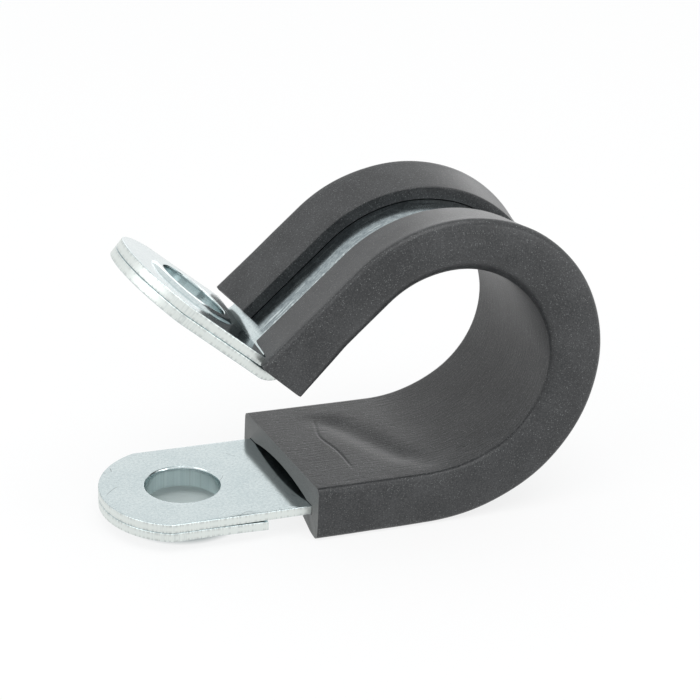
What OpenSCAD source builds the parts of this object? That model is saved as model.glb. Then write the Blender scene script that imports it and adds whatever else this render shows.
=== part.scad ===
// Rubber-lined P clip, standing open as it is before it is sprung round a pipe.
// A flat steel strap is bent into a loop with a fixing tab at each end. Each tab is
// stiffened by a separate plate, which the rim of the strap's own hole is rolled over.
// A rubber channel is threaded over the loop and grips the strap by two inturned lips.
//
// Millimetres, +Z up. The origin is on the axis of the lower fixing hole, in the
// underside of the lower plate, which is the face that meets the mounting surface.

/* [Strap] */
// Width of the strap
strap_w = 13; // [11:0.5:20]
// Thickness of the strap
strap_t = 0.8; // [0.6:0.1:1.2]
// Bevel on the long edges of the strap and plates
edge = 0.1; // [0.05:0.01:0.2]

/* [Fixing holes] */
// Bore of both fixing holes, a clearance hole for an M6 screw
hole_d = 6.4; // [5.3:0.1:7]
// Wall of the collar that the strap forms through the plate
collar_t = 0.65; // [0.5:0.05:0.9]
// How far the collar's rim is rolled out over the plate
rim_over = 0.35; // [0.2:0.05:0.6]
// How far the rolled rim stands above the plate
rim_h = 0.3; // [0.15:0.05:0.5]
// Rounding at the drawn entry of each hole
entry_r = 0.25; // [0.15:0.05:0.6]

/* [Tabs] */
// How far the radius of a tab's tip, struck from its hole, passes half the strap's width
tip_over = 0.5; // [0.2:0.1:1.5]
// Distance from the lower hole to the start of the heel
lower_reach = 19.1; // [16:0.1:30]
// Distance from the end of the bend to the upper hole
upper_reach = 6; // [5.8:0.1:12]

/* [Stiffening plates] */
// Thickness of each plate
plate_t = 0.8; // [0.6:0.1:1.2]
// Distance from a hole to the plate's square end
plate_back = 5.5; // [4.9:0.1:5.5]
// Clearance between a plate and the collar in it
plate_clear = 0.05; // [0:0.01:0.1]

/* [Loop] */
// Centre-line radius of the heel, between the lower arm and the loop
heel_r = 14.2; // [12:0.1:40]
// Angle that the heel turns through
heel_turn = 35; // [20:1:50]
// Centre-line radius of the loop
loop_r = 11; // [9:0.1:40]
// Angle that the loop turns through
loop_turn = 188; // [175:1:195]
// Straight length of the upper arm
upper_arm = 9.6; // [6:0.1:20]
// Centre-line radius of the bend at the foot of the upper tab
bend_r = 1.45; // [1.2:0.05:2.5]
// Angle that the bend turns back through
bend_turn = 82.6; // [70:0.1:95]

/* [Rubber liner] */
// Thickness of the liner's base, between the strap and the pipe
base_t = 1.35; // [1:0.05:2]
// Height at which the base bows clear of the strap along its middle
base_bow = 0.65; // [0.2:0.05:0.8]
// Thickness of the liner's side walls
side_t = 1.2; // [0.9:0.05:2]
// Thickness of the lips where they leave the side walls
lip_root_t = 1.75; // [1.3:0.05:2.5]
// Thickness of the lips at the slot
lip_tip_t = 1.05; // [0.7:0.05:1.3]
// Width of the slot between the lips
slot_w = 5.1; // [3:0.1:8]
// Radius of the liner's inner corners
inner_r = 1.7; // [1.4:0.1:2.1]
// Bevel on the outer edges of the lips
lip_edge = 0.3; // [0.1:0.05:0.6]
// How far the ends of the lips stand back at the slot from the ends of the side walls
lip_back = 0.5; // [0.2:0.1:1]
// Clearance between the liner and the strap
liner_clear = 0.05; // [0.02:0.01:0.1]
// Distance from the lower hole to the liner's lower end
liner_start = 8.6; // [7.5:0.1:11]
// How far short of the bend the liner's upper end stops, on the middle of the strap
liner_short = 0.1; // [0.05:0.05:1]
// How far off square the lower end of the liner is trimmed
lower_trim = 5; // [0:0.1:8]
// How far off square the upper end of the liner is trimmed
upper_trim = 3.1; // [0:0.1:3.5]

/* [Hidden] */
$fn = 96;
eps = 0.01;
// Gap between two legs of a chain, and how far the slice that fills it stands proud
joint_gap = 0.01;
joint_proud = 0.002;
// How far a section is grown, which only a joint changes
$proud = 0;
// Facets on each inner corner of the liner, and on each half of the arch in its base
corner_steps = 6;
arch_steps = 5;
tip_r = strap_w / 2 + tip_over;
hole_r = hole_d / 2;
collar_r = hole_r + collar_t;
rim_r = collar_r + rim_over;
// Height of the strap's mid-plane in the lower tab and arm
mid_z = plate_t + strap_t / 2;
// A leg of the centre line is [length, 0] where straight, or [radius, turn] where bent
LOOP = [[heel_r, heel_turn], [loop_r, loop_turn]];
BEND = [bend_r, -bend_turn];

// Section sizes of the liner, with n measured outwards from the strap's mid-plane
cavity_w = strap_w + 2 * liner_clear;
cavity_n = strap_t / 2 + liner_clear;
liner_w = cavity_w + 2 * side_t;
base_n = cavity_n + base_bow + base_t;
root_n = cavity_n + lip_root_t;
tip_n = cavity_n + lip_tip_t;
// Spare length that an off-square end needs before it is trimmed
trim_run = liner_w / 2 * tan(max(lower_trim, upper_trim)) + 2 * eps;
// Half width of the notch in the lips' ends, and the depth it would reach at mid-width
notch_w = strap_w / 2;
notch_s = lip_back * notch_w / (notch_w - slot_w / 2);
LINED = concat(
    [[lower_reach - liner_start + trim_run, 0]], LOOP, [[upper_arm - liner_short + trim_run, 0]]
);

// ---- Walking along the centre line ----

// Sweeps a section along one leg that starts at the origin and heads along +X. The
// section's x runs outwards from the loop, and its y runs across the strap. Each leg
// stops short by a joint's gap, which the joint then fills.
module swept(leg) {
    r = leg[0];
    gap_turn = joint_gap / r * 180 / PI;
    if (leg[1] == 0)
        rotate([0, 90, 0]) linear_extrude(leg[0] - joint_gap) children();
    else if (leg[1] > 0)
        translate([0, 0, r]) rotate([90, 90, 0])
            rotate_extrude(angle = leg[1] - gap_turn) translate([r, 0]) children();
    else
        translate([0, 0, -r]) rotate([-90, -90, 0])
            rotate_extrude(angle = -leg[1] - gap_turn) translate([r, 0]) mirror([1, 0]) children();
}

// Fills the gap before the origin with a thin slice, which bites into both legs and
// stands a hair proud of them, so that they fuse with no two faces on one another.
module joint() {
    $proud = joint_proud;
    translate([-2 * joint_gap, 0, 0]) rotate([0, 90, 0]) linear_extrude(3 * joint_gap) children();
}

// Moves its children to the end of a leg, heading along it. A turn is made about the
// arc's own centre.
module past(leg) {
    if (leg[1] == 0)
        translate([leg[0], 0, 0]) children();
    else
        translate([0, 0, sign(leg[1]) * leg[0]]) rotate([0, -leg[1], 0])
            translate([0, 0, -sign(leg[1]) * leg[0]]) children();
}

// Sweeps a section along a chain of legs, each with a joint at its end.
module run(legs, i = 0) {
    if (i < len(legs)) {
        swept(legs[i]) children();
        past(legs[i]) {
            joint() children();
            run(legs, i + 1) children();
        }
    }
}

// Moves its children to the end of a chain of legs.
module beyond(legs, i = 0) {
    if (i < len(legs)) past(legs[i]) beyond(legs, i + 1) children();
    else children();
}

// Places its children at the lower hole, on the strap's mid-plane, heading for the loop.
module at_lower_hole() {
    translate([0, 0, mid_z]) children();
}

// Places its children at the upper hole, on the strap's mid-plane, heading for the tip.
module at_upper_hole() {
    at_lower_hole() translate([lower_reach, 0, 0])
        beyond(concat(LOOP, [[upper_arm, 0], BEND])) translate([upper_reach, 0, 0]) children();
}

// ---- Strip, tabs and collars ----

// Section of a strip of metal with its long edges bevelled, centred on the mid-plane.
module strip_section(t) {
    n = t / 2 + $proud;
    y = strap_w / 2 + $proud;
    polygon([
        [n, edge - y], [n, y - edge], [n - edge, y], [edge - n, y],
        [-n, y - edge], [-n, edge - y], [edge - n, -y], [n - edge, -y]
    ]);
}

// Disc of the tip's radius with the same bevel.
module tip_disc(t) {
    n = t / 2;
    rotate_extrude()
        polygon([[0, -n], [tip_r - edge, -n], [tip_r, edge - n], [tip_r, n - edge], [tip_r - edge, n], [0, n]]);
}

// Flat tab heading along +X from its square end, at x = -back, to its rounded tip, with
// the hole's centre at the origin and a clear hole of radius hole_cut.
module tab(t, back, hole_cut) {
    difference() {
        intersection() {
            translate([-back, 0, 0]) rotate([0, 90, 0]) linear_extrude(back + tip_r) strip_section(t);
            union() {
                tip_disc(t);
                translate([-back - eps, -strap_w, -t]) cube([back + eps, 2 * strap_w, 2 * t]);
            }
        }
        cylinder(r = hole_cut, h = 4 * t, center = true);
    }
}

// Collar drawn from the strap, through the plate and rolled over it. Its axis is Z, the
// strap's outer face is at z = 0 and the plate lies above it.
module collar() {
    crest_r = hole_r + collar_t / 3;
    fall = rim_r - crest_r;
    dome_r = (fall * fall + rim_h * rim_h) / (2 * rim_h);
    rotate_extrude() {
        difference() {
            translate([hole_r, -strap_t]) square([collar_t, strap_t + plate_t]);
            difference() {
                translate([hole_r - eps, -strap_t - eps]) square(entry_r + eps);
                translate([hole_r + entry_r, -strap_t + entry_r]) circle(entry_r);
            }
        }
        intersection() {
            translate([crest_r, plate_t + rim_h - dome_r]) circle(dome_r);
            translate([hole_r, plate_t]) square([rim_r - hole_r, 2 * rim_h]);
        }
    }
}

// Turns a collar so that it stands on the outer face of the strap.
module on_outer_face() {
    rotate([180, 0, 0]) translate([0, 0, strap_t / 2]) children();
}

// ---- Liner ----

// Section of the rubber channel: a base that bows clear of the strap, side walls, and two
// lips that taper towards the slot. One half is listed, and the other mirrors it.
module liner_section() {
    outer = [base_n, liner_w / 2, root_n, tip_n] + $proud * [1, 1, 1, 1];
    inner = [cavity_n, cavity_w / 2, slot_w / 2] - $proud * [1, 1, 1];
    arch_half = (strap_w - inner_r) / 2;
    one_half = concat(
        [for (i = [0 : corner_steps]) let (a = 90 * i / corner_steps)
            [-outer[0] + inner_r * (1 - cos(a)), outer[1] - inner_r * (1 - sin(a))]],
        [[outer[2] - lip_edge, outer[1]], [outer[2], outer[1] - lip_edge], [outer[3], inner[2]]],
        [[inner[0], inner[2]], [inner[0], inner[1]], [-inner[0], inner[1]]],
        [for (i = [arch_steps : -1 : 0]) let (s = i / arch_steps)
            [-inner[0] - base_bow * (1 - s * s), arch_half * s]]
    );
    other_half = [for (i = [len(one_half) - 2 : -1 : 0]) [one_half[i][0], -one_half[i][1]]];
    polygon(concat(one_half, other_half));
}

// Everything past an off-square cut, at an end that heads along +X, and a shallow V that
// leaves the ends of the lips standing back at the slot.
module trimmed_off(angle) {
    rotate([0, 0, angle]) {
        translate([0, -liner_w, -2 * base_n]) cube([4 * trim_run, 2 * liner_w, 4 * base_n]);
        translate([0, 0, -2 * root_n]) linear_extrude(2 * root_n)
            polygon([[-notch_s, 0], [0, -notch_w], [trim_run, -notch_w], [trim_run, notch_w], [0, notch_w]]);
    }
}

// ---- Pieces ----

module strap() {
    color([0.78, 0.82, 0.84]) {
        at_lower_hole() {
            rotate([0, 0, 180]) tab(strap_t, lower_reach, collar_r - eps);
            on_outer_face() collar();
            translate([lower_reach, 0, 0])
                run(concat(LOOP, [[upper_arm, 0], BEND])) strip_section(strap_t);
        }
        at_upper_hole() {
            tab(strap_t, upper_reach, collar_r - eps);
            on_outer_face() collar();
        }
    }
}

// Plate with its hole on the origin's axis, lying on the outer face of the strap.
module plate() {
    color([0.76, 0.80, 0.83])
        translate([0, 0, -(strap_t + plate_t) / 2]) tab(plate_t, plate_back, collar_r + plate_clear);
}

module lower_plate() {
    at_lower_hole() rotate([0, 0, 180]) plate();
}

module upper_plate() {
    at_upper_hole() plate();
}

module liner() {
    color([0.16, 0.17, 0.18])
        at_lower_hole() translate([liner_start - trim_run, 0, 0]) difference() {
            run(LINED) liner_section();
            translate([trim_run, 0, 0]) rotate([0, 0, 180]) trimmed_off(lower_trim);
            beyond(LINED) translate([-trim_run, 0, 0]) trimmed_off(upper_trim);
        }
}

strap();
lower_plate();
upper_plate();
liner();
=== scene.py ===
"""Dresses the rubber-lined P clip: a folded zinc-plated strap, two stiffening plates and a rubber liner.

Lengths are metres, in the part's own frame: +Z is up, the origin is on the axis of the lower fixing hole,
and the strap's centre line lies in the plane y = 0.
"""

from __future__ import annotations

import logging
import math
from dataclasses import dataclass
from enum import Enum

import bmesh
import bpy
import numpy as np
from mathutils import Matrix, Vector


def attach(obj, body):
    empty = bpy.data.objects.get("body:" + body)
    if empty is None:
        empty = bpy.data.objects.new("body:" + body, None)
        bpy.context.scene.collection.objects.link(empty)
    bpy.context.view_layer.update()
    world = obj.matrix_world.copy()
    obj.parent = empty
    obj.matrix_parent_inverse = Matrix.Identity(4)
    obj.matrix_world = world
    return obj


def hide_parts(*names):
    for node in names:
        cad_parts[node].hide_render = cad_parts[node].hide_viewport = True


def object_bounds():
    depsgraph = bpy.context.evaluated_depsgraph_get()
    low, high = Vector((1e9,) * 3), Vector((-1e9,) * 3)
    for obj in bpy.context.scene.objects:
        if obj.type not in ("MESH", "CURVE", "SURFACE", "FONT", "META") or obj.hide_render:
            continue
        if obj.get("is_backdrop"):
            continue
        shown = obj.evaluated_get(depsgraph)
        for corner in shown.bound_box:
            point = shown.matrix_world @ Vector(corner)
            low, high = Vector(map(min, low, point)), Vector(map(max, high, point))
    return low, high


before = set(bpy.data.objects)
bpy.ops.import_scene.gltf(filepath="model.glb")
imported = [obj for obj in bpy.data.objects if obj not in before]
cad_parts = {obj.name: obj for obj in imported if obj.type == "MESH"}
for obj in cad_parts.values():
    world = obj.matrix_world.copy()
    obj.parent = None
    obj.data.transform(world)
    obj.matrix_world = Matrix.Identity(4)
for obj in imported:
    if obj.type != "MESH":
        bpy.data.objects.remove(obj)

LOG = logging.getLogger("p_clip")
MM = 0.001
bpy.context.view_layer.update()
BODY = "root"
# Slack in finding the points on a tab's open end
SEAM = 1e-9
# Points nearer than this are one, and edges shorter than half of it are dropped
WELD = 0.0008 * MM
# Marks that the finishes read: sheared sides and rounded corners, and the bore's face and the trimmed ends
STRIP_MARKS = ("sheared", "rounded")
SWEEP_MARKS = ("bore", "trimmed")
# A colour's linear red, green and blue, or another three numbers
Triple = tuple[float, float, float]


class Slot(Enum):
    """Material slots that the finishes carry."""

    ZINC = "zinc"
    RUBBER = "rubber"


@dataclass(frozen=True)
class Coat:
    """A finish, and what its meshes carry for it. Edges that turn by more than smooth_deg stay sharp."""

    material: bpy.types.Material
    slot: Slot
    uv_name: str
    marks: tuple[str, str]
    smooth_deg: float


# ---- Shader nodes ----


@dataclass(frozen=True)
class Value:
    """A shader socket on which Python's operators add Math nodes."""

    kit: Nodes
    socket: bpy.types.NodeSocket

    def __add__(self, other: Value | float) -> Value:
        """Sum."""
        return self.kit.math("ADD", self, other)

    def __radd__(self, other: float) -> Value:
        """Sum, with the number first."""
        return self.kit.math("ADD", other, self)

    def __sub__(self, other: Value | float) -> Value:
        """Difference."""
        return self.kit.math("SUBTRACT", self, other)

    def __rsub__(self, other: float) -> Value:
        """Difference, with the number first."""
        return self.kit.math("SUBTRACT", other, self)

    def __mul__(self, other: Value | float) -> Value:
        """Product."""
        return self.kit.math("MULTIPLY", self, other)

    def __rmul__(self, other: float) -> Value:
        """Product, with the number first."""
        return self.kit.math("MULTIPLY", other, self)


class Nodes:
    """Builds the node tree of a material or of the world."""

    def __init__(self, owner: bpy.types.Material | bpy.types.World) -> None:
        """Starts an empty tree.

        Args:
            owner: What the tree belongs to.
        """
        self.owner = owner
        owner.use_nodes = True
        self.tree = owner.node_tree
        self.tree.nodes.clear()

    def node(
        self, kind: str, settings: dict | None = None, inputs: dict | None = None, out: int | str = 0
    ) -> Value | None:
        """Adds one node.

        Args:
            kind: The node's Blender type.
            settings: Attributes, which are set before the sockets.
            inputs: Values or links by socket name or number.
            out: The output that is returned.

        Returns:
            The chosen output, or None where the node has no outputs.
        """
        made = self.tree.nodes.new(kind)
        for key, value in (settings or {}).items():
            setattr(made, key, value)
        for key, value in (inputs or {}).items():
            if isinstance(value, Value):
                self.tree.links.new(value.socket, made.inputs[key])
            else:
                made.inputs[key].default_value = value
        return Value(self, made.outputs[out]) if len(made.outputs) else None

    def math(self, operation: str, *values: Value | float) -> Value:
        """Adds a Math node on the values."""
        return self.node("ShaderNodeMath", {"operation": operation}, dict(enumerate(values)))

    def limited(
        self, value: Value, low: float, high: float, to_low: float = 0.0, to_high: float = 1.0
    ) -> Value:
        """Maps a value from low..high to to_low..to_high, and no further.

        Args:
            value: The value.
            low: Where the change starts.
            high: Where it ends.
            to_low: What low becomes.
            to_high: What high becomes.

        Returns:
            The mapped value.
        """
        return self.node(
            "ShaderNodeMapRange",
            {"clamp": True},
            {"Value": value, "From Min": low, "From Max": high, "To Min": to_low, "To Max": to_high},
        )

    def uv(self, name: str) -> Value:
        """Reads one of the piece's own UV maps, which are in metres."""
        return self.node("ShaderNodeUVMap", {"uv_map": name})

    def place(self) -> Value:
        """Reads the object's own coordinates."""
        return self.node("ShaderNodeTexCoord", out="Object")

    def attribute(self, name: str) -> Value:
        """Reads a number that the mesh stores."""
        return self.node("ShaderNodeAttribute", {"attribute_name": name}, out="Fac")

    def noise(
        self, vector: Value, scale: float | Triple, detail: float = 3.0, roughness: float = 0.5
    ) -> Value:
        """Adds a noise texture.

        Args:
            vector: The places that it reads.
            scale: One over the width of its features in metres, or the same for each axis.
            detail: How many finer layers it has.
            roughness: How strong the finer layers are.

        Returns:
            The noise, mostly between 0.3 and 0.7.
        """
        if isinstance(scale, tuple):
            vector = self.node("ShaderNodeVectorMath", {"operation": "MULTIPLY"}, {0: vector, 1: scale})
            scale = 1.0
        sockets = {"Vector": vector, "Scale": scale, "Detail": detail, "Roughness": roughness}
        return self.node("ShaderNodeTexNoise", {}, sockets)

    def mixed(self, factor: Value | float, first: Value | Triple, second: Value | Triple) -> Value:
        """Mixes two colours, a Mix node's inputs 6 and 7, into its output 2."""
        a, b = (colour if isinstance(colour, Value) else (*colour, 1.0) for colour in (first, second))
        return self.node("ShaderNodeMix", {"data_type": "RGBA"}, {0: factor, 6: a, 7: b}, out=2)

    def bump(
        self, height: Value, distance: float, strength: float = 1.0, under: Value | None = None
    ) -> Value:
        """Adds a Bump node.

        Args:
            height: The height, where 1 stands for the distance.
            distance: The height's size in metres.
            strength: How much of it is applied.
            under: The normal of a bump that lies under this one.

        Returns:
            The bumped normal.
        """
        inputs = {"Height": height, "Distance": distance, "Strength": strength}
        if under:
            inputs["Normal"] = under
        return self.node("ShaderNodeBump", {}, inputs)

    def end(
        self, shader: Value, kind: str = "ShaderNodeOutputMaterial"
    ) -> bpy.types.Material | bpy.types.World:
        """Ends the tree with a shader, and returns what the tree belongs to."""
        self.node(kind, {}, {"Surface": shader})
        return self.owner

    def principled(self, inputs: dict) -> bpy.types.Material:
        """Ends a material's tree with a Principled shader, and returns the material."""
        return self.end(self.node("ShaderNodeBsdfPrincipled", {}, inputs))


@dataclass(frozen=True)
class Zinc:
    """Bright zinc plate over rolled strip: mottled grain, hairlines, and pale sheared sides with a burr."""

    colour: Triple = (0.67, 0.745, 0.75)
    dulled: Triple = (0.55, 0.635, 0.65)
    sheared: Triple = (0.73, 0.775, 0.75)
    burr: Triple = (0.16, 0.18, 0.19)
    # Painted shade and reflection: the strap between the lips is darkened where the +y lip shades it and
    # shows in it
    slot_shade: Triple = (0.17, 0.21, 0.23)
    slot_shade_span: tuple[float, float] = (12 * MM, 73.3 * MM)
    slot_shade_side: float = -0.85 * MM
    slot_shade_fray: float = 1.8 * MM
    roughness: float = 0.1
    grain_scale: float = 4200.0
    grain_depth: float = 0.0008 * MM
    cloud_scale: float = 300.0
    wave_scale: float = 170.0
    wave_depth: float = 0.012 * MM
    rib_scale: float = 7500.0
    rib_depth: float = 0.0015 * MM
    ragged_scale: float = 1700.0
    speck_scale: float = 4800.0
    pit_scale: float = 7000.0
    scratch_scale: Triple = (90.0, 2600.0, 1.0)
    blotch_scale: Triple = (260.0, 2400.0, 1.0)
    hair_scale: float = 330.0
    hair_level: float = 0.56
    hair_place_scale: float = 420.0

    def coat(self) -> Coat:
        """Builds the finish.

        Returns:
            The finish, for the strap and the plates.
        """
        kit = Nodes(bpy.data.materials.new("zinc_plate"))
        along = kit.uv("Strip")
        sheared, rounded = (kit.attribute(name) for name in STRIP_MARKS)
        side = kit.limited(sheared, 0.0, 1.0)
        face = 1.0 - side
        torn = kit.limited(sheared, 1.0, 2.0)
        grain = kit.noise(along, self.grain_scale, 4.0, 0.6)
        cloud = kit.noise(along, self.cloud_scale, 3.0, 0.55)
        hairline = self.hairlines(kit, along)
        scratches = kit.limited(kit.noise(along, self.scratch_scale, 2.0, 0.4), 0.64, 0.8)
        ribs = kit.noise(along, self.rib_scale, 3.0, 0.6)
        speck = kit.limited(kit.noise(along, self.speck_scale, 2.0, 0.6), 0.46, 0.6)
        pits = kit.limited(kit.noise(along, self.pit_scale, 2.0, 0.6), 0.6, 0.72)
        mottled = kit.limited(cloud * 0.3 + grain * 0.7, 0.4, 0.62)
        colour = kit.mixed(mottled, self.colour, self.dulled)
        # Painted shade and reflection of the lip on the strap in the slot
        colour = kit.mixed(self.slot_shaded(kit, along), colour, self.slot_shade)
        pale = kit.mixed(kit.limited(ribs, 0.42, 0.72, 0.0, 0.3), self.sheared, self.colour)
        colour = kit.mixed(side, colour, pale)
        dark = kit.math("MAXIMUM", rounded * speck * 0.34, hairline * face * 0.55)
        dark = kit.math("MAXIMUM", dark, torn * kit.limited(ribs, 0.52, 0.66) * 0.2)
        dark = kit.math("MAXIMUM", dark, pits * face * 0.3)
        colour = kit.mixed(dark, colour, self.burr)
        rough = self.roughness + grain * 0.06 + cloud * 0.05 + side * 0.2 + rounded * 0.08
        low = kit.bump(kit.noise(along, self.wave_scale, 2.0, 0.4), self.wave_depth, 0.5)
        mid = kit.bump(grain - scratches * 0.5 - hairline * 2.0, self.grain_depth, under=low)
        fine = kit.bump(ribs * side, self.rib_depth, under=mid)
        material = kit.principled({"Base Color": colour, "Metallic": 1.0, "Roughness": rough, "Normal": fine})
        return Coat(material, Slot.ZINC, "Strip", STRIP_MARKS, 40)

    def slot_shaded(self, kit: Nodes, along: Value) -> Value:
        """Marks the ragged-edged band of painted shade and reflection on the strap, from near the slot's
        middle to under the +y lip.

        Args:
            kit: The material's tree.
            along: Places on the strip.

        Returns:
            1 well inside the band and 0 outside it.
        """
        s, y = (kit.node("ShaderNodeSeparateXYZ", {}, {0: along}, out=axis) for axis in ("X", "Y"))
        start, end = self.slot_shade_span
        ragged = kit.noise(along, self.ragged_scale, 4.0, 0.65)
        across = kit.limited(y + (ragged - 0.5) * self.slot_shade_fray, self.slot_shade_side, self.slot_shade_side + 0.3 * MM)
        under = kit.limited(y, 4.0 * MM, 4.4 * MM, 1.0, 0.0)
        ends = kit.limited(s, start, start + 2 * MM) * kit.limited(s, end - 0.4 * MM, end, 1.0, 0.0)
        # Blotches and a ragged fade break up the painted shade band
        blotches = kit.limited(kit.noise(along, self.blotch_scale, 2.0, 0.5), 0.56, 0.7)
        patchy_tone = kit.limited(ragged, 0.3, 0.62, 1.0, 0.6) * (1.0 - blotches * 0.8)
        return across * under * ends * patchy_tone

    def hairlines(self, kit: Nodes, along: Value) -> Value:
        """Marks a few short, curved hairlines: level lines of a noise, kept where a second noise is high.

        Args:
            kit: The material's tree.
            along: Places on the strip.

        Returns:
            1 on a hairline and 0 elsewhere.
        """
        off_line = kit.math("ABSOLUTE", kit.noise(along, self.hair_scale, 0.0) - self.hair_level)
        place = kit.limited(kit.noise(along, self.hair_place_scale, 0.0), 0.64, 0.67)
        return kit.limited(off_line, 0.003, 0.009, 1.0, 0.0) * place


@dataclass(frozen=True)
class Rubber:
    """Extruded dark rubber: satin, with die lines along the bore, fine tooth and pale dust."""

    colour: Triple = (0.018, 0.0195, 0.021)
    patchy_tone: Triple = (0.046, 0.048, 0.050)
    cut: Triple = (0.148, 0.153, 0.151)
    dust: Triple = (0.26, 0.27, 0.27)
    roughness: float = 0.28
    specular: float = 0.47
    die_scale: Triple = (520.0, 4600.0, 1.0)
    die_depth: float = 0.04 * MM
    tooth_scale: float = 6500.0
    tooth_depth: float = 0.012 * MM
    pit_scale: float = 1500.0
    cloud_scale: float = 320.0
    speck_scale: float = 10500.0

    def coat(self) -> Coat:
        """Builds the finish.

        Returns:
            The finish, for the liner.
        """
        kit = Nodes(bpy.data.materials.new("extruded_rubber"))
        along = kit.uv("Sweep")
        place = kit.place()
        bore, trimmed = (kit.attribute(name) for name in SWEEP_MARKS)
        trimmed = kit.limited(trimmed, 0.9, 1.0)
        die = kit.noise(along, self.die_scale, 4.0, 0.6)
        tooth = kit.noise(place, self.tooth_scale, 3.0, 0.65)
        pits = kit.limited(kit.noise(place, self.pit_scale, 1.0, 0.3), 0.7, 0.78)
        cloud = kit.noise(place, self.cloud_scale, 3.0, 0.55)
        speck = kit.limited(kit.noise(place, self.speck_scale, 1.0, 0.4), 0.63, 0.74)
        blotches = kit.limited(cloud * 0.35 + tooth * 0.65, 0.42, 0.62)
        colour = kit.mixed(blotches, self.colour, self.patchy_tone)
        colour = kit.mixed(trimmed * kit.limited(tooth, 0.2, 0.7, 0.5, 1.0), colour, self.cut)
        colour = kit.mixed(speck * 0.5, colour, self.dust)
        rough = self.roughness + tooth * 0.2 + trimmed * 0.1
        low = kit.bump(die * kit.limited(bore, 0.0, 1.0, 0.15, 1.0), self.die_depth, 0.9)
        fine = kit.bump(tooth - pits * 0.8, self.tooth_depth, under=low)
        material = kit.principled(
            {"Base Color": colour, "Roughness": rough, "Normal": fine, "Specular IOR Level": self.specular}
        )
        return Coat(material, Slot.RUBBER, "Sweep", SWEEP_MARKS, 35)


# ---- Shapes ----


def rise(value: np.ndarray, start: float, end: float) -> np.ndarray:
    """A straight ramp: 0 up to the start and 1 past the end, or falling where the end is the smaller one."""
    return np.clip((value - start) / (end - start), 0, 1)


def line_points(p: tuple[float, float], q: tuple[float, float], parts: int) -> np.ndarray:
    """Points p (1 - f) + q f on a line, from p up to but not including q."""
    f = np.linspace(0, 1, parts, endpoint=False)[:, None]
    return np.array(p) * (1 - f) + np.array(q) * f


def arc_points(centre: tuple[float, float], r: float, start: float, end: float, parts: int) -> np.ndarray:
    """Points centre + r (cos a, sin a) on an arc, up to but not including its end. Angles are in degrees."""
    a = np.radians(np.linspace(start, end, parts, endpoint=False))
    return np.array(centre) + r * np.stack([np.cos(a), np.sin(a)], axis=-1)


@dataclass(frozen=True)
class Leg:
    """One leg of the centre line, straight where turn is 0. A turn towards the pipe is positive."""

    length: float
    turn: float = 0.0

    @staticmethod
    def arc(radius: float, degrees: float) -> Leg:
        """Makes an arc from its radius and its turn."""
        return Leg(radius * math.radians(abs(degrees)), math.radians(degrees))


@dataclass(frozen=True)
class Route:
    """The strap's centre line, from the lower hole to the upper hole, in the plane y = 0."""

    legs: tuple[Leg, ...]
    start: tuple[float, float]

    @property
    def length(self) -> float:
        """Length of the whole centre line."""
        return sum(leg.length for leg in self.legs)

    def at(self, s: np.ndarray) -> tuple[np.ndarray, np.ndarray]:
        """Places and headings along the centre line.

        On a leg of curvature k, a step d from its start p with heading t and left-hand normal m ends at
        p + t sin(kd) / k + m (1 - cos(kd)) / k, and at p + t d where k is 0. Before the first leg and past
        the last one the line runs straight on.

        Args:
            s: Distances from the lower hole, of any shape.

        Returns:
            The points as (..., 2) arrays of x and z, and the headings in radians.
        """
        point = np.zeros(s.shape + (2,))
        heading = np.zeros(s.shape)
        here, angle, done = np.array(self.start), 0.0, 0.0
        runs = [Leg(0.0), *self.legs, Leg(0.0)]
        for index, leg in enumerate(runs):
            after = (s >= done) | (index == 0)
            before = (s < done + leg.length) | (index == len(runs) - 1)
            chosen = after & before
            step = np.append(s[chosen] - done, leg.length)
            sweep = step * (leg.turn / leg.length if leg.length else 0.0)
            forward = step * np.sinc(sweep / np.pi)
            aside = step * np.sin(sweep / 2) * np.sinc(sweep / 2 / np.pi)
            ahead = np.array([math.cos(angle), math.sin(angle)])
            left = np.array([-math.sin(angle), math.cos(angle)])
            reached = here + forward[:, None] * ahead + aside[:, None] * left
            point[chosen], heading[chosen] = reached[:-1], angle + sweep[:-1]
            here = reached[-1]
            angle += leg.turn
            done += leg.length
        return point, heading

    def lay(self, s: np.ndarray, y: np.ndarray, n: np.ndarray) -> np.ndarray:
        """Puts points on the strap: s along it, y across it and n outwards from its mid-plane.

        Args:
            s: Distances from the lower hole.
            y: Distances from the middle of the width.
            n: Heights above the mid-plane, on the side away from the pipe.

        Returns:
            The points, as an array with x, y and z last.
        """
        s, y, n = np.broadcast_arrays(s, y, n)
        point, heading = self.at(s)
        x, z = point[..., 0] + n * np.sin(heading), point[..., 1] - n * np.cos(heading)
        return np.stack([x, y, z], axis=-1)


def grid_faces(rows: int, columns: int, ring: bool = False, loop: bool = False) -> np.ndarray:
    """Quads over a grid of points that are numbered row by row.

    Args:
        rows: Number of rows.
        columns: Number of columns.
        ring: Joins the last row to the first.
        loop: Joins the last column to the first.

    Returns:
        The quads' corners as an (n, 4) array.
    """
    i = np.arange(rows if ring else rows - 1)[:, None]
    j = np.arange(columns if loop else columns - 1)[None, :]
    below, right = (i + 1) % rows, (j + 1) % columns
    quads = [i * columns + j, i * columns + right, below * columns + right, below * columns + j]
    return np.stack(quads, axis=-1).reshape(-1, 4)


@dataclass
class Patch:
    """A surface: points with their UV places and their two marks, and the quads between them."""

    points: np.ndarray
    uv: np.ndarray
    faces: np.ndarray
    marks: np.ndarray


def joined(patches: list[Patch]) -> Patch:
    """Puts patches together, with their faces renumbered.

    Args:
        patches: The patches, which keep their order.

    Returns:
        One patch.
    """
    offsets = np.cumsum([0] + [len(p.points) for p in patches[:-1]])
    faces = np.concatenate([p.faces + offset for p, offset in zip(patches, offsets)])
    rest = zip(*((p.points, p.uv, p.marks) for p in patches))
    points, uv, marks = (np.concatenate(parts) for parts in rest)
    return Patch(points, uv, faces, marks)


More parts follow.
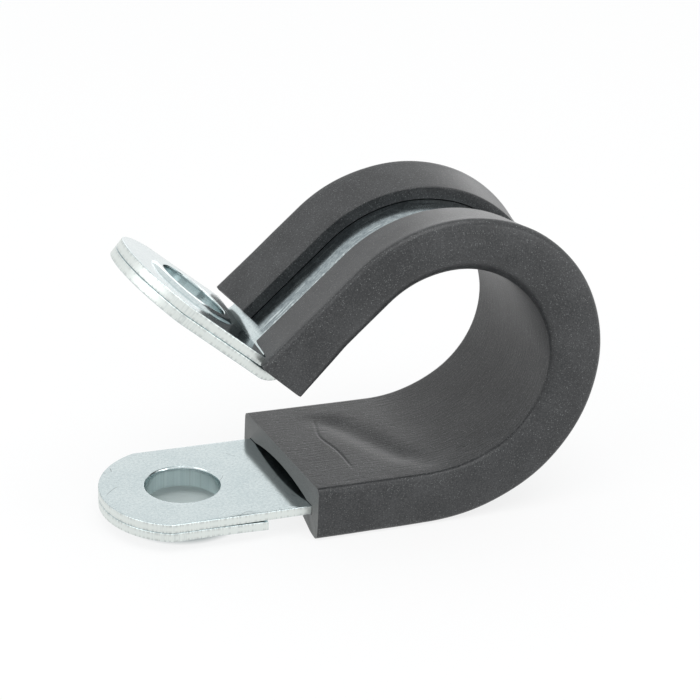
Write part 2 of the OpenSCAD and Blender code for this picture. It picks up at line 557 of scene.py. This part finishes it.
def mesh_piece(name: str, patch: Patch, coat: Coat) -> bpy.types.Object:
    """Makes an object from a patch, merges its seams, and dresses it.

    Args:
        name: The object's name.
        patch: Its surface.
        coat: Its finish.

    Returns:
        The object, riding on the part's body.
    """
    mesh = bpy.data.meshes.new(name)
    mesh.from_pydata(patch.points.tolist(), [], patch.faces.tolist())
    corners = np.empty(len(mesh.loops), np.int32)
    mesh.loops.foreach_get("vertex_index", corners)
    mesh.uv_layers.new(name=coat.uv_name).data.foreach_set("uv", patch.uv[corners].astype(np.float32).ravel())
    for key, column in zip(coat.marks, patch.marks.T):
        mesh.attributes.new(key, "FLOAT", "POINT").data.foreach_set("value", column.astype(np.float32))
    work = bmesh.new()
    work.from_mesh(mesh)
    bmesh.ops.remove_doubles(work, verts=work.verts, dist=WELD)
    bmesh.ops.dissolve_degenerate(work, dist=WELD / 2, edges=work.edges)
    bmesh.ops.recalc_face_normals(work, faces=work.faces)
    open_edges = sum(1 for e in work.edges if len(e.link_faces) != 2)
    work.to_mesh(mesh)
    work.free()
    mesh.validate()
    mesh.shade_smooth()
    mesh.set_sharp_from_angle(angle=math.radians(coat.smooth_deg))
    piece = bpy.data.objects.new(name, mesh)
    bpy.context.collection.objects.link(piece)
    mesh.materials.append(coat.material)
    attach(piece, BODY)
    LOG.info("%s: %d faces, %d open edges", name, len(mesh.polygons), open_edges)
    return piece


# ---- The clip ----


@dataclass(frozen=True)
class ClipSizes:
    """Driving dimensions that the pieces share."""

    strap_w: float = 13 * MM
    strap_t: float = 0.8 * MM
    plate_t: float = 0.8 * MM
    edge: float = 0.1 * MM
    hole_r: float = 3.12 * MM
    collar_t: float = 0.65 * MM
    rim_over: float = 0.35 * MM
    rim_h: float = 0.3 * MM
    entry_r: float = 0.15 * MM
    tip_over: float = 0.5 * MM
    plate_back: float = 5.5 * MM
    plate_clear: float = 0.05 * MM
    lower_reach: float = 19.1 * MM
    heel_r: float = 14.2 * MM
    heel_turn: float = 35.0
    loop_r: float = 11 * MM
    loop_turn: float = 188.0
    upper_arm: float = 9.6 * MM
    bend_r: float = 1.45 * MM
    bend_turn: float = 82.6
    upper_reach: float = 6 * MM

    @property
    def tip_r(self) -> float:
        """Radius of a tab's tip, struck from its hole."""
        return self.strap_w / 2 + self.tip_over

    @property
    def route(self) -> Route:
        """The strap's centre line: lower tab, heel, loop, upper arm, bend and upper tab."""
        legs = (
            Leg(self.lower_reach),
            Leg.arc(self.heel_r, self.heel_turn),
            Leg.arc(self.loop_r, self.loop_turn),
            Leg(self.upper_arm),
            Leg.arc(self.bend_r, -self.bend_turn),
            Leg(self.upper_reach),
        )
        return Route(legs, (0.0, self.plate_t + self.strap_t / 2))


@dataclass(frozen=True)
class TabPlan:
    """Outline of a tab as it faces out, with its hole's centre at (0, 0) and its square end at x = -back."""

    half_w: float
    tip_r: float
    back: float
    open_end: bool
    tip_steps: int = 96
    side_steps: int = 14
    back_steps: int = 40

    def outline(self) -> tuple[np.ndarray, np.ndarray]:
        """Points round the outline, and the step that each takes inwards for a unit of inset.

        The tip is the arc x = r cos(a), y = r sin(a) up to |y| = half_w, the sides are y = +-half_w, and the
        end is x = -back with y = back tan(ray). The end takes no inset where the strap runs on.

        Returns:
            Two (n, 2) arrays.
        """
        limit = math.asin(self.half_w / self.tip_r)
        shoulder = self.tip_r * math.cos(limit)
        a = np.linspace(-limit, limit, self.tip_steps)
        tip = np.stack([self.tip_r * np.cos(a), self.tip_r * np.sin(a)], axis=-1)
        x = np.linspace(shoulder, -self.back, self.side_steps)
        side = np.stack([x, np.full_like(x, self.half_w)], axis=-1)
        rays = np.linspace(1, -1, self.back_steps + 2)[1:-1] * math.atan2(self.half_w, self.back)
        y = self.back * np.tan(rays)
        end = np.stack([np.full_like(y, -self.back), y], axis=-1)
        points = np.concatenate([tip, side[1:], end, side[::-1][:-1] * [1, -1]])
        inwards = np.concatenate([
            -tip / self.tip_r,
            np.tile([0.0, -1.0], (len(side) - 1, 1)),
            np.tile([0.0, 0.0] if self.open_end else [1.0, 0.0], (len(end), 1)),
            np.tile([0.0, 1.0], (len(side) - 1, 1)),
        ])
        if not self.open_end:
            corner = len(tip) + len(side) - 2
            inwards[corner] = [1.0, -1.0]
            inwards[corner + len(end) + 1] = [1.0, 1.0]
        return points, inwards


def rounded_edge(t: float, edge: float, steps: int = 5) -> np.ndarray:
    """Profile round one edge of a strip, from its outer face to its inner face.

    Each corner is a quarter circle: the inset is edge (1 - cos(a)) and the height t / 2 - edge (1 - sin(a)).

    Args:
        t: Thickness of the strip.
        edge: Radius of its corners.
        steps: Steps in each quarter circle.

    Returns:
        An (n, 2) array of inset and height.
    """
    a = np.linspace(math.pi / 2, 0, steps + 1)
    top = np.stack([edge * (1 - np.cos(a)), t / 2 - edge * (1 - np.sin(a))], axis=-1)
    middle = np.array([[0.0, h] for h in np.linspace(t / 2 - edge, edge - t / 2, 4)[1:-1]])
    return np.concatenate([top, middle, top[::-1] * [1, -1]])


def rim_marks(height: np.ndarray, t: float, edge: float) -> np.ndarray:
    """Marks of points at some heights on a strip: the sheared side, and the rounded corners.

    Args:
        height: Heights above the strip's mid-plane.
        t: Thickness of the strip.
        edge: Radius of its corners.

    Returns:
        An (n, 2) array of 0 and 1.
    """
    depth = (t / 2 - np.abs(height)) / edge
    return np.stack([depth > 0.5, (depth > 0.01) & (depth < 1.1)], axis=-1).astype(float)


def tab_patch(plan: TabPlan, t: float, edge: float, bore: np.ndarray, rings: int = 6) -> Patch:
    """A tab with a hole, as rings from its bore to its outline and back.

    A ring on a face lies a share f of the way from the bore to the outline: bore (1 - f) + outline f. Beside
    the tip's shoulders the sheared mark rises to 2, where the metal is torn, as exp(-(d / reach)^2).

    Args:
        plan: Its outline.
        t: Its thickness.
        edge: Radius of its outer edges.
        bore: Profile of the bore's wall as (radius, height), from the inner face to the outer face.
        rings: Rings across each face.

    Returns:
        The surface, with x towards the tip, y across and z outwards, and with (x, y) as UV.
    """
    torn_reach = 1.7 * MM
    outline, inwards = plan.outline()
    angle = np.arctan2(outline[:, 1], outline[:, 0])
    spoke = np.stack([np.cos(angle), np.sin(angle)], axis=-1)
    rim = rounded_edge(t, edge)
    share = (np.arange(1, rings) / rings)[:, None, None]
    outer, inner = (r * spoke * (1 - share) + (outline + edge * inwards) * share for r in bore[[-1, 0], 0])
    edges = outline + rim[:, :1, None] * inwards
    places = np.concatenate([outer, edges, inner[::-1], bore[:, :1, None] * spoke])
    height = np.concatenate([np.full(rings - 1, t / 2), rim[:, 1], np.full(rings - 1, -t / 2), bore[:, 1]])
    depth, count = places.shape[:2]
    x, y = places.transpose(2, 1, 0)
    flat = np.stack(np.broadcast_arrays(x, y, height), axis=-1).reshape(-1, 3)
    faces = grid_faces(count, depth, ring=True, loop=True)
    if plan.open_end:
        first = np.repeat(np.arange(count), depth)
        level = np.tile(np.arange(depth), count)
        at_end = outline[:, 0] < SEAM - plan.back
        wall = (level >= rings - 1) & (level < rings + len(rim) - 2)
        faces = faces[~(wall & at_end[first] & at_end[(first + 1) % count])]
    marks = np.zeros((count, depth, 2))
    marks[:, rings - 1 : rings - 1 + len(rim)] = rim_marks(rim[:, 1], t, edge)
    off_shoulder = outline[:, 0] - math.sqrt(plan.tip_r**2 - plan.half_w**2)
    torn = np.exp(-((off_shoulder / torn_reach) ** 2)) * (np.abs(outline[:, 1]) > plan.half_w * 0.6)
    marks[..., 0] *= 1 + torn[:, None]
    return Patch(flat, flat[:, :2].copy(), faces, marks.reshape(-1, 2))


def strip_patch(sizes: ClipSizes, s: np.ndarray, y: np.ndarray) -> Patch:
    """The strap's strip with its rounded edges, carried along the route.

    Args:
        sizes: The clip's sizes.
        s: Places along the route.
        y: Places across the faces, from one side to the other.

    Returns:
        The surface, already laid on the route, with (s, y) as UV.
    """
    t, half_w = sizes.strap_t, sizes.strap_w / 2
    rim = rounded_edge(t, sizes.edge)
    section = np.concatenate([
        np.column_stack([y, np.full_like(y, t / 2)]),
        np.column_stack([rim[:, 0] - half_w, rim[:, 1]]),
        np.column_stack([y[::-1], np.full_like(y, -t / 2)]),
        np.column_stack([half_w - rim[::-1, 0], rim[::-1, 1]]),
    ])
    across, height = section.T
    points = sizes.route.lay(s[:, None], across, height)
    uv = np.stack(np.broadcast_arrays(s[:, None], across), axis=-1)
    faces = grid_faces(len(s), len(section), loop=True)
    marks = np.tile(rim_marks(height, t, sizes.edge), (len(s), 1))
    return Patch(points.reshape(-1, 3), uv.reshape(-1, 2), faces, marks)


def bent_places(
    route: Route, start: float, end: float, step_deg: float = 2.0, longest: float = 1.5 * MM
) -> np.ndarray:
    """Places along the route, dense where it bends.

    Args:
        route: The centre line.
        start: The first place.
        end: The last place.
        step_deg: Largest turn between two places.
        longest: Longest straight step.

    Returns:
        The places, with each leg's ends among them.
    """
    places, done = [start, end], 0.0
    for leg in route.legs:
        parts = max(math.ceil(abs(math.degrees(leg.turn)) / step_deg), math.ceil(leg.length / longest))
        places += list(np.linspace(done, done + leg.length, parts + 1))
        done += leg.length
    return np.unique(np.round([p for p in places if start <= p <= end], 9))


@dataclass
class Strap:
    """The folded strap, with a drawn collar at the hole in each tab."""

    sizes: ClipSizes
    tab_back: float = 6 * MM
    entry_depth: float = 0.42 * MM
    crest_r: float = 0.07 * MM

    def bore(self) -> np.ndarray:
        """Profile of a hole, from the inner face through the collar to the outer face, where the plate lies.

        The entry is a quarter of an ellipse entry_r wide and entry_depth deep, and the wall is straight
        through the plate. The rim is an arc whose crest stands rim_h over the plate, at a third of the
        collar's thickness, and whose radius is (fall^2 + rim_h^2) / (2 rim_h).

        Returns:
            An (n, 2) array of radius and height.
        """
        c = self.sizes
        half = c.strap_t / 2
        a = np.linspace(0, math.pi / 2, 11)
        entry_x, entry_z = c.entry_r * (1 - np.sin(a)), self.entry_depth * (1 - np.cos(a))
        entry = np.stack([c.hole_r + entry_x, entry_z - half], axis=-1)
        crest = c.collar_t / 3
        fall = c.collar_t + c.rim_over - crest
        curve = (fall * fall + c.rim_h * c.rim_h) / (2 * c.rim_h)
        x = np.concatenate([np.linspace(self.crest_r, crest, 4)[:-1], crest + fall * np.linspace(0, 1, 12)])
        rim_z = np.sqrt(curve * curve - (x - crest) ** 2) - (curve - c.rim_h)
        rim = np.stack([c.hole_r + x, half + c.plate_t + rim_z], axis=-1)
        corner = arc_points((c.hole_r + self.crest_r, rim[0, 1] - self.crest_r), self.crest_r, 180, 90, 4)
        wall = np.array([[c.hole_r, h] for h in np.linspace(entry[-1, 1], corner[0, 1], 7)[1:-1]])
        tuck = [c.hole_r + c.collar_t, half + c.plate_t], [c.hole_r + c.collar_t, half]
        return np.concatenate([entry, wall, corner, rim, tuck])

    def surface(self) -> Patch:
        """Puts the two tabs and the strip between them together.

        Returns:
            The surface, laid on the route, with (s, y) as UV.
        """
        c = self.sizes
        route = c.route
        plan = TabPlan(c.strap_w / 2, c.tip_r, self.tab_back, open_end=True)
        flat = tab_patch(plan, c.strap_t, c.edge, self.bore())
        x, y, z = flat.points.T
        upper_s = route.length + x
        upper = Patch(route.lay(upper_s, y, z), np.column_stack([upper_s, y]), flat.faces, flat.marks)
        lower = Patch(route.lay(-x, y, z), np.column_stack([-x, y]), flat.faces[:, ::-1], flat.marks)
        outline, _ = plan.outline()
        end = np.sort(outline[outline[:, 0] < SEAM - plan.back, 1])
        end[[0, -1]] += [c.edge, -c.edge]
        places = bent_places(route, self.tab_back, route.length - self.tab_back)
        return joined([lower, strip_patch(c, places, end[::-1]), upper])

    def build(self, coat: Coat) -> bpy.types.Object:
        """Makes the strap in place of its solid."""
        piece = mesh_piece("strap_skin", self.surface(), coat)
        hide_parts("strap")
        return piece


@dataclass
class Plate:
    """A stiffening plate, held on the outer face of a tab by the collar's rim."""

    sizes: ClipSizes
    node: str
    at_lower_hole: bool
    spring: float

    def surface(self) -> Patch:
        """Makes the plate, and lays it on its tab, with its square end sprung away as (x / back)^1.5.

        Returns:
            The surface, laid on the route, with (s, y) as UV, aside from the strap's.
        """
        c = self.sizes
        route = c.route
        plan = TabPlan(c.strap_w / 2, c.tip_r, c.plate_back, open_end=False)
        radius = c.hole_r + c.collar_t + c.plate_clear
        bore = np.array([[radius, -c.plate_t / 2], [radius, 0.0], [radius, c.plate_t / 2]])
        flat = tab_patch(plan, c.plate_t, c.edge, bore)
        x, y, z = flat.points.T
        n = z + (c.strap_t + c.plate_t) / 2 + self.spring * np.clip(-x / c.plate_back, 0, 1) ** 1.5
        s = -x if self.at_lower_hole else route.length + x
        faces = flat.faces[:, ::-1] if self.at_lower_hole else flat.faces
        return Patch(route.lay(s, y, n), np.column_stack([s, y + 2 * c.strap_w]), faces, flat.marks)

    def build(self, coat: Coat) -> bpy.types.Object:
        """Makes the plate in place of its solid."""
        piece = mesh_piece(self.node + "_skin", self.surface(), coat)
        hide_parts(self.node)
        return piece


@dataclass
class Liner:
    """The rubber channel, threaded over the loop, with lips that grip the strap.

    A pair runs from where something starts to where it is full. Only wall_on is for the -y and the +y side,
    and drawn_over for above and below. A wave is its rate, phase and share, and a dense stretch of rows is
    its start, its end and its count.
    """

    sizes: ClipSizes
    base_t: float = 1.35 * MM
    base_bow: float = 0.65 * MM
    side_t: float = 1.2 * MM
    lip_root_t: float = 1.75 * MM
    lip_tip_t: float = 1.05 * MM
    lip_tip_r: float = 0.12 * MM
    slot_w: float = 5.1 * MM
    crisp_r: float = 0.5 * MM
    soft_r: float = 1.9 * MM
    soft_span: tuple[float, float] = (40 * MM, 55 * MM)
    lip_r: float = 0.45 * MM
    clear: float = 0.05 * MM
    start: float = 8.6 * MM
    over: float = 0.15 * MM
    lower_skew: float = math.tan(math.radians(5))
    upper_skew: float = math.tan(math.radians(3.1))
    skew_share: float = 1 / 9
    lip_back: float = 0.5 * MM
    less_back: float = 0.3
    lip_on: float = 0.05 * MM
    lip_low: float = 1.5 * MM
    wall_on: tuple[float, float] = (0.38 * MM, 0.15 * MM)
    wall_in: float = 0.35 * MM
    wall_rise: tuple[float, float] = (-2.45 * MM, 1.75 * MM)
    crown: float = 0.07 * MM
    crown_half: float = 2.3 * MM
    drawn_in: float = 0.2 * MM
    drawn_from: float = -0.6 * MM
    drawn_over: tuple[float, float] = (2.8 * MM, 1.9 * MM)
    loop_low: tuple[float, float] = (24 * MM, 40 * MM)
    loop_high: tuple[float, float] = (70 * MM, 58 * MM)
    crease_s: float = 13.3 * MM
    crease_bend: float = 0.7 * MM
    crease_w: float = 0.12 * MM
    crease_depth: float = 0.06 * MM
    crease_fade: tuple[float, float] = (4.9 * MM, 3.7 * MM)
    valley_s: float = 16.4 * MM
    valley_slant: float = 0.5
    valley_w: float = 1.5 * MM
    valley_depth: float = 0.24 * MM
    valley_fades: tuple[tuple[float, float], ...] = ((5.5 * MM, 3.5 * MM), (-6.4 * MM, -3.9 * MM))
    waves: tuple[Triple, ...] = ((520.0, 0.0, 0.35), (1130.0, 1.3, 0.2), (240.0, 0.5, 0.45))
    wave_across: float = 0.004
    wave_up: float = 0.012
    steps: int = 230
    dense: tuple[tuple[float, float, int], ...] = ((12.3 * MM, 13.6 * MM, 36), (14 * MM, 21 * MM, 40))

    @property
    def bow_top(self) -> float:
        """Depth of the bowed cavity's deepest point under the strap's mid-plane."""
        return self.sizes.strap_t / 2 + self.clear + self.base_bow

    def dents(self, s: np.ndarray, y: np.ndarray) -> np.ndarray:
        """Depth of the marks in the bore's face: a curved crease near the lower end, and a slanting valley.

        A mark's depth at a distance d from its line is depth exp(-(d / width)^2), and it fades out sideways.
        The crease's line swings by bend exp(-((y - 1.5) / 2.2)^2), in millimetres.

        Args:
            s: Distances along the strap.
            y: Distances across it.

        Returns:
            The depth at each place.
        """
        crease_s = self.crease_s - self.crease_bend * np.exp(-(((y - 1.5 * MM) / (2.2 * MM)) ** 2))
        crease = np.exp(-(((s - crease_s) / self.crease_w) ** 2)) * rise(np.abs(y), *self.crease_fade)
        valley_s = self.valley_s - self.valley_slant * y
        upper_fade, lower_fade = (rise(y, *fade) for fade in self.valley_fades)
        valley = np.exp(-(((s - valley_s) / self.valley_w) ** 2)) * (upper_fade * lower_fade)
        return self.crease_depth * crease + self.valley_depth * valley

    def section(self, inner_r: float) -> np.ndarray:
        """Closed outline of the channel: out from a lip's tip round the base to the other's, and back inside.

        The way back has as many points as the way out, so that a flat end joins them two by two. Corners are
        quarter circles c + r (cos a, sin a), and the base bows clear of the strap as
        n = -cavity - bow (1 - (y / half)^2).

        Args:
            inner_r: Radius of the corners beside the pipe.

        Returns:
            An (n, 2) array of y and n.
        """
        c = self.sizes
        cav_n = c.strap_t / 2 + self.clear
        cav_y = c.strap_w / 2 + self.clear
        half = cav_y + self.side_t
        base = self.bow_top + self.base_t
        root, tip = cav_n + self.lip_root_t, cav_n + self.lip_tip_t
        slot = self.slot_w / 2
        slope = math.degrees(math.atan2(root - tip, half - slot))
        near_tip = (slot + self.lip_tip_r, tip - self.lip_tip_r)
        root_c = (half - self.lip_r, root - self.lip_r)
        fillet = (half - inner_r, inner_r - base)
        outer = np.concatenate([
            arc_points(near_tip, self.lip_tip_r, 180, 90 + slope, 6),
            line_points((near_tip[0], tip), (root_c[0], root), 10),
            arc_points(root_c, self.lip_r, 90, 0, 8),
            line_points((half, root_c[1]), (half, fillet[1]), 10),
            arc_points(fillet, inner_r, 0, -90, 16),
            line_points((fillet[0], -base), (0, -base), 22),
        ])
        half_y = (c.strap_w - self.soft_r) / 2
        y = np.linspace(1, 0, 31)[:-1] * half_y
        inner = np.concatenate([
            line_points((slot, cav_n + 0.3 * MM), (slot, cav_n), 6),
            line_points((slot, cav_n), (cav_y, cav_n), 16),
            line_points((cav_y, cav_n), (cav_y, -cav_n), 10),
            line_points((cav_y, -cav_n), (half_y, -cav_n), 10),
            np.stack([y, -cav_n - self.base_bow * (1 - (y / half_y) ** 2)], axis=-1),
        ])
        flip = np.array([-1, 1])
        out = np.concatenate([outer, [[0.0, -base]], outer[::-1] * flip])
        back = np.concatenate([inner, [[0.0, -self.bow_top]], inner[::-1] * flip])
        return np.concatenate([out, back[::-1]])

    def cut_ends(self, middle: np.ndarray, y: np.ndarray, n: np.ndarray) -> np.ndarray:
        """Distances along the strap of every point, once the ends are cut a little off square.

        An end leans by skew y, which fades as f^2 along the share of the length beside it. The lips' ends
        stand back towards the slot, at the upper end by less where y is negative. There the side walls run
        on, and the lips stop at the plate, a limit that moves on steeply past the strap's sides.

        Args:
            middle: Distances along the strap, one for each row.
            y: Distances across the strap.
            n: Heights above its mid-plane.

        Returns:
            The distances, one for each point.
        """
        half_w = self.sizes.strap_w / 2
        beside, minus = np.abs(y), y < 0
        f = ((middle - middle[0]) / (middle[-1] - middle[0]))[:, None]
        low, high = rise(f, self.skew_share, 0) ** 2, rise(f, 1 - self.skew_share, 1) ** 2
        notch = self.lip_back * half_w / (half_w - self.slot_w / 2)
        back = notch * rise(beside, half_w, 0) * (n > 0)
        upper_back = back * np.where(minus, self.less_back, 1.0)
        wall = rise(beside, half_w, half_w + self.wall_in) * np.where(minus, *self.wall_on)
        wall = wall * rise(n, *self.wall_rise)
        s = middle[:, None] - (self.lower_skew * y - back) * low
        s = s + (wall - self.upper_skew * y - upper_back) * high
        stop = middle[-1] + self.lip_on + 4 * np.clip(beside - half_w, 0, None)
        return np.where(n > self.lip_low, np.minimum(s, stop), s)

    def surface(self) -> Patch:
        """Sweeps the section along the loop, and makes it slightly uneven.

        The corners beside the pipe turn from crisp to soft as 3f^2 - 2f^3 up the loop's far side, and
        most of the way back at the upper end. The side walls are crowned as 1 - (n / half)^2, and round
        the loop they are drawn in towards both edges as d^2. A sum of sines along the strap swells and
        thins the rubber a little.

        Returns:
            The surface, with (s, distance round the section) as UV.
        """
        c = self.sizes
        route = Route(c.route.legs[:4], c.route.start)
        end = route.length + self.over
        dense = [np.linspace(first, last, count) for first, last, count in self.dense]
        middle = np.sort(np.concatenate([np.linspace(self.start, end, self.steps), *dense]))
        f = rise(middle, *self.soft_span)
        softness = f * f * (3 - 2 * f) * rise(middle, end + 2 * MM, end - 5 * MM)
        crisp, soft = self.section(self.crisp_r), self.section(self.soft_r)
        mix = softness[:, None, None]
        y, n = np.moveaxis(crisp * (1 - mix) + soft * mix, -1, 0)
        s = self.cut_ends(middle, y, n)
        bore = rise(-n, self.bow_top + 0.4 * MM, self.bow_top + 1 * MM)
        wave = sum(share * np.sin(rate * s + phase) for rate, phase, share in self.waves)
        wave = wave * rise(np.abs(n), c.strap_t, c.strap_t + 1 * MM)
        wall_y = c.strap_w / 2 + 2 * self.clear
        wall = rise(np.abs(y), wall_y, wall_y + 0.5 * MM)
        looped = (rise(middle, *self.loop_low) * rise(middle, *self.loop_high))[:, None]
        crown = self.crown * (1 + looped) * np.clip(1 - (n / self.crown_half) ** 2, 0, 1)
        up, down = ((n - self.drawn_from) * way / over for way, over in zip((1, -1), self.drawn_over))
        drawn = self.drawn_in * looped * (np.clip(up, 0, 1.1) ** 2 + np.clip(down, 0, 1.1) ** 2)
        moved_y = y * (1 + self.wave_across * wave * rise(np.abs(y), 0, 7 * MM))
        moved_y = moved_y + np.sign(y) * wall * (crown - drawn)
        moved_n = n * (1 + self.wave_up * wave * np.sign(n)) + bore * self.dents(s, y)
        points = route.lay(s, moved_y, moved_n)
        along = np.concatenate([[0.0], np.cumsum(np.linalg.norm(np.diff(crisp, axis=0), axis=1))])
        uv = np.stack(np.broadcast_arrays(s, along), axis=-1)
        rows, columns = points.shape[:2]
        k = np.arange(columns // 2 - 1)
        cap = np.stack([k, k + 1, columns - 2 - k, columns - 1 - k], axis=-1)
        sweep = grid_faces(rows, columns, loop=True)
        faces = np.concatenate([sweep, cap[:, ::-1], cap + (rows - 1) * columns])
        trimmed = np.zeros((rows, columns))
        trimmed[[0, -1]] = 1.0
        marks = np.stack([bore, trimmed], axis=-1)
        return Patch(points.reshape(-1, 3), uv.reshape(-1, 2), faces, marks.reshape(-1, 2))

    def build(self, coat: Coat) -> bpy.types.Object:
        """Makes the liner in place of its solid."""
        piece = mesh_piece("liner_skin", self.surface(), coat)
        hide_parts("liner")
        return piece


# ---- Studio ----


@dataclass(frozen=True)
class Lamp:
    """A soft rectangular lamp that looks at the clip."""

    name: str
    azimuth: float
    elevation: float
    distance: float
    size: tuple[float, float]
    power: float

    def build(self, target: Vector) -> None:
        """Adds the lamp.

        Args:
            target: What it looks at.
        """
        a, e = math.radians(self.azimuth), math.radians(self.elevation)
        away = Vector((math.sin(a) * math.cos(e), -math.cos(a) * math.cos(e), math.sin(e)))
        data = bpy.data.lights.new(self.name, "AREA")
        data.shape = "RECTANGLE"
        data.size, data.size_y = self.size
        data.energy = self.power
        lamp = bpy.data.objects.new(self.name, data)
        lamp.location = target + away * self.distance
        lamp.rotation_mode = "QUATERNION"
        lamp.rotation_quaternion = (-away).to_track_quat("-Z", "Y")
        bpy.context.collection.objects.link(lamp)


@dataclass
class Studio:
    """Floor, world, lamps and camera."""

    azimuth: float = 21.6
    elevation: float = 24.4
    roll: float = 2.8
    lens: float = 97.6
    stand: Triple = (-38.9 * MM, -134.8 * MM, 78.0 * MM)
    lamps: tuple[Lamp, ...] = (
        Lamp("overhead", 10, 72, 0.45, (0.4, 0.3), 0.75),
        Lamp("left", -75, 35, 0.45, (0.3, 0.25), 0.3),
        Lamp("back_low", 150, 7, 0.5, (0.3, 0.11), 0.13),
        Lamp("front_right", 42, 8, 0.5, (0.25, 0.2), 0.4),
    )
    floor_size: float = 4.0
    floor_gap: float = 0.02 * MM
    floor_colour: Triple = (0.92, 0.92, 0.92)
    floor_shade: float = 0.18
    # Painted shadow: a greyer spot on the floor under the lower tab, seen through its hole
    shadow_spot_colour: Triple = (0.66, 0.72, 0.71)
    shadow_spot_r: float = 5.2 * MM
    room_colour: Triple = (0.97, 0.99, 1.0)
    bright_side: Triple = (0.1, 0.45, 0.89)
    dim: float = 0.22
    bright: float = 0.92

    def camera(self) -> None:
        """Stands the camera at its place, turned by azimuth, elevation and roll."""
        a, e, q = (math.radians(v) for v in (self.azimuth, self.elevation, self.roll))
        forward = Vector((math.sin(a) * math.cos(e), math.cos(a) * math.cos(e), -math.sin(e)))
        level = Vector((math.cos(a), -math.sin(a), 0))
        upright = level.cross(forward)
        right = level * math.cos(q) + upright * math.sin(q)
        up = upright * math.cos(q) - level * math.sin(q)
        data = bpy.data.cameras.new("camera")
        data.lens = self.lens
        data.clip_start, data.clip_end = 0.01, 10
        camera = bpy.data.objects.new("camera", data)
        turn = Matrix((right, up, -forward)).transposed()
        camera.matrix_world = Matrix.Translation(self.stand) @ turn.to_4x4()
        bpy.context.collection.objects.link(camera)
        bpy.context.scene.camera = camera

    def floor(self) -> None:
        """Lays a white floor that keeps the clip's shadow, with a painted shadow under the lower hole: a
        greyer spot without the white glow.
        """
        low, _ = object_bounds()
        half = self.floor_size / 2
        z = low.z - self.floor_gap
        corners = [(-half, -half, z), (half, -half, z), (half, half, z), (-half, half, z)]
        mesh = bpy.data.meshes.new("floor")
        mesh.from_pydata(corners, [], [(0, 1, 2, 3)])
        kit = Nodes(bpy.data.materials.new("floor_white"))
        glow = kit.node("ShaderNodeEmission", {}, {"Color": (1.0, 1.0, 1.0, 1.0), "Strength": 1.0})
        away = kit.node("ShaderNodeVectorMath", {"operation": "LENGTH"}, {0: kit.place()}, out="Value")
        # Painted shadow: inside the spot the floor is grey and gets no white glow
        unshadowed_floor = kit.limited(away, self.shadow_spot_r * 0.9, self.shadow_spot_r * 1.1)
        colour = kit.mixed(unshadowed_floor, self.shadow_spot_colour, self.floor_colour)
        matte = kit.node("ShaderNodeBsdfDiffuse", {}, {"Color": colour})
        camera = kit.node("ShaderNodeLightPath", out="Is Camera Ray")
        share = (self.seen(kit) - camera * self.floor_shade) * unshadowed_floor
        mesh.materials.append(kit.end(kit.node("ShaderNodeMixShader", {}, {0: share, 1: matte, 2: glow})))
        floor = bpy.data.objects.new("floor", mesh)
        bpy.context.collection.objects.link(floor)
        floor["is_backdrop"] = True

    def seen(self, kit: Nodes) -> Value:
        """1 for rays from the camera and those that metal or clear things pass on, and 0 for the rest."""
        kinds = ("Is Camera Ray", "Is Glossy Ray", "Is Transmission Ray")
        camera, glossy, clear = (kit.node("ShaderNodeLightPath", out=kind) for kind in kinds)
        return kit.math("MAXIMUM", kit.math("MAXIMUM", camera, glossy), clear)

    def world(self) -> None:
        """Lights the clip from a pale room, brighter above and behind, that is seen and mirrored as white."""
        world = bpy.data.worlds.new("room")
        kit = Nodes(world)
        way = kit.node("ShaderNodeTexCoord", out="Generated")
        sides = {0: way, 1: self.bright_side}
        facing = kit.node("ShaderNodeVectorMath", {"operation": "DOT_PRODUCT"}, sides, out="Value")
        strength = kit.limited(facing, -0.8, 1.0, self.dim, self.bright)
        room_light = {"Color": (*self.room_colour, 1.0), "Strength": strength}
        room = kit.node("ShaderNodeBackground", {}, room_light)
        white = kit.node("ShaderNodeBackground", {}, {"Color": (1.0, 1.0, 1.0, 1.0), "Strength": 1.0})
        shader = kit.node("ShaderNodeMixShader", {}, {0: self.seen(kit), 1: room, 2: white})
        bpy.context.scene.world = kit.end(shader, "ShaderNodeOutputWorld")

    def build(self) -> None:
        """Builds the whole studio."""
        low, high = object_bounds()
        for lamp in self.lamps:
            lamp.build((low + high) / 2)
        self.floor()
        self.world()
        self.camera()
        bpy.context.scene.view_settings.view_transform = "Standard"


def main() -> None:
    """Builds each piece and the studio."""
    logging.basicConfig(level=logging.INFO, format="%(message)s")
    sizes = ClipSizes()
    zinc, rubber = Zinc().coat(), Rubber().coat()
    Strap(sizes).build(zinc)
    Plate(sizes, "lower_plate", at_lower_hole=True, spring=0.12 * MM).build(zinc)
    Plate(sizes, "upper_plate", at_lower_hole=False, spring=0.03 * MM).build(zinc)
    Liner(sizes).build(rubber)
    Studio().build()


if __name__ == "__main__":
    main()
